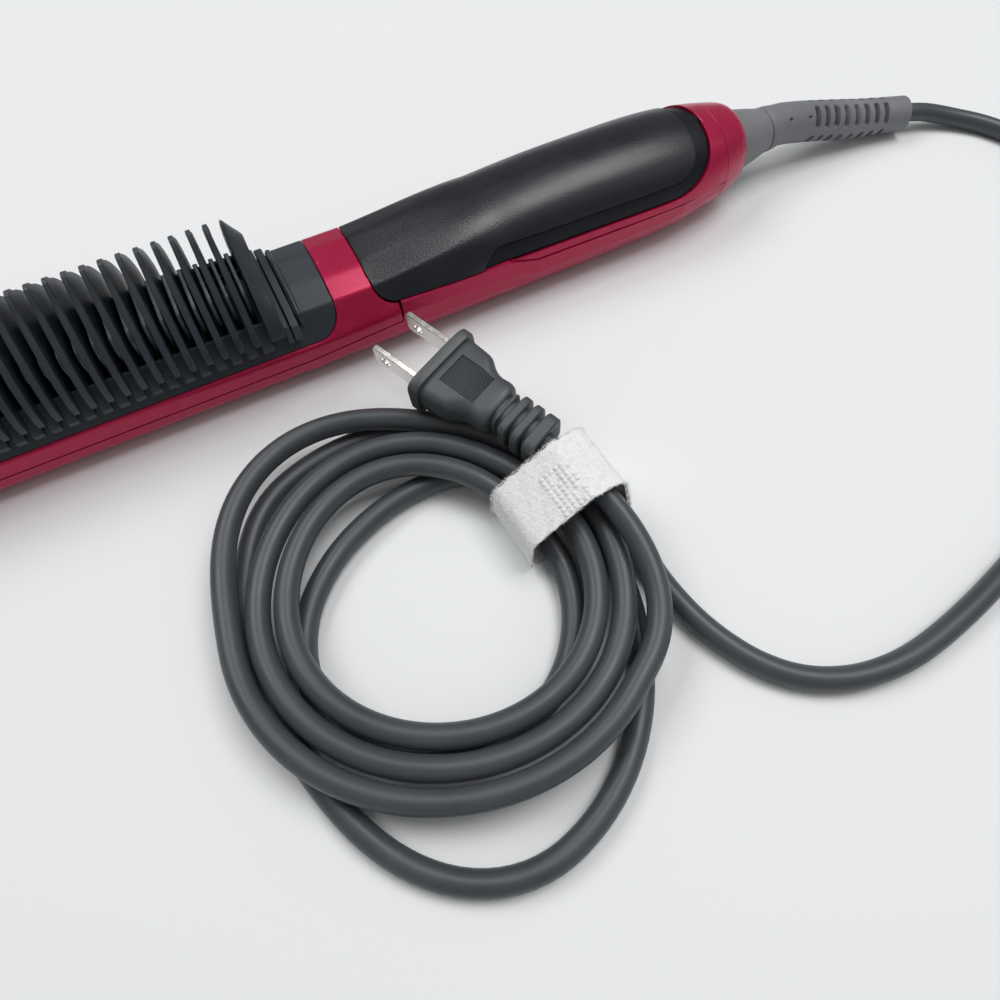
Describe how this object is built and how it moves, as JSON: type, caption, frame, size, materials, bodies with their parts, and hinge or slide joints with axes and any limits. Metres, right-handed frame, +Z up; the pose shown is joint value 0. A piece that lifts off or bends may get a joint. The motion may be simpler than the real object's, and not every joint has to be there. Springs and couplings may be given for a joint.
{
  "type": "hair straightening brush",
  "caption": "Heated straightening brush: cool comb teeth with heated blades on a red casing, black grip, rear button panel, swivelling cord and plug.",
  "frame": {"origin": "on the table, under the middle of the casing's length (cord bulb included) and width", "axes": "+X from the comb's nose towards the cord, +Y across, +Z up out of the teeth; the back with the buttons lies on z = 0"},
  "size_m": [0.3863, 0.1763, 0.0459],
  "materials": {
    "red_shell": "metallic red paint on moulded plastic, satin gloss",
    "graphite_plastic": "dark graphite moulded plastic, satin",
    "grip_rubber": "matt near-black soft coating with a fine grain",
    "trim_plastic": "smooth near-black plastic",
    "heat_plate": "cast aluminium with a dark grey ceramic coating",
    "ceramic": "white ceramic heater body",
    "mica": "translucent brown mica",
    "spring_steel": "bright spring steel",
    "fuse_metal": "bright metal can",
    "silicone": "white silicone insulation",
    "panel_plastic": "gloss black plastic",
    "window": "dark tinted window",
    "display": "pale display module",
    "button_plastic": "mid grey plastic",
    "switch_black": "black switch housing",
    "board_green": "green circuit board",
    "chip_black": "moulded black package with a tinned tab",
    "capacitor_yellow": "yellow moulded case",
    "screw_steel": "zinc-plated steel",
    "frame_black": "black engineering plastic",
    "boot_rubber": "mid grey soft vinyl",
    "cord_vinyl": "dark grey vinyl cord",
    "plug_vinyl": "dark grey moulded vinyl",
    "blade_nickel": "bright nickel-plated brass",
    "tie_fabric": "white woven strap"
  },
  "bodies": {
    "casing": {"back_shell": "red_shell", "head_frame": "red_shell", "tail_frame": "red_shell", "tail_ring": "red_shell", "neck_cover": "graphite_plastic", "grip_cover": "grip_rubber", "grip_trim": "trim_plastic", "comb_frame": "graphite_plastic", "heat_plate": "heat_plate", "heater_element": "ceramic", "mica_sheet": "mica", "heater_clamp": "spring_steel", "thermal_fuse": "fuse_metal", "heater_leads": "silicone", "control_panel": "panel_plastic", "display_window": "window", "display_module": "display", "tact_switches": "switch_black", "control_board": "board_green", "triac": "chip_black", "filter_capacitor": "capacitor_yellow", "board_screws": "screw_steel", "casing_screws": "screw_steel", "mains_leads": "silicone", "swivel_cradle": "frame_black", "swivel_cap": "frame_black", "cradle_screws": "screw_steel", "strain_relief": "boot_rubber", "cord_lead": "cord_vinyl", "cord_coil": "cord_vinyl", "cord_end": "cord_vinyl", "cord_tie": "tie_fabric", "plug_body": "plug_vinyl", "plug_blades": "blade_nickel"},
    "power_button": {"power_button": "button_plastic"},
    "plus_button": {"plus_button": "button_plastic"},
    "minus_button": {"minus_button": "button_plastic"},
    "swivel_bulb": {"swivel_bulb": "boot_rubber"}
  },
  "joints": [
    {"name": "power_press", "type": "slide", "parent": "casing", "child": "power_button", "axis": [0, 0, 1], "range_m": [0, 0.0005], "stiffness_N_per_m": 600, "springref_m": -0.0005},
    {"name": "plus_press", "type": "slide", "parent": "casing", "child": "plus_button", "axis": [0, 0, 1], "range_m": [0, 0.0005], "stiffness_N_per_m": 600, "springref_m": -0.0005},
    {"name": "minus_press", "type": "slide", "parent": "casing", "child": "minus_button", "axis": [0, 0, 1], "range_m": [0, 0.0005], "stiffness_N_per_m": 600, "springref_m": -0.0005},
    {"name": "cord_swivel", "type": "hinge", "parent": "casing", "child": "swivel_bulb", "pos_m": [0.1183, 0, 0.0148], "axis": [1, 0, 0], "continuous": true}
  ]
}
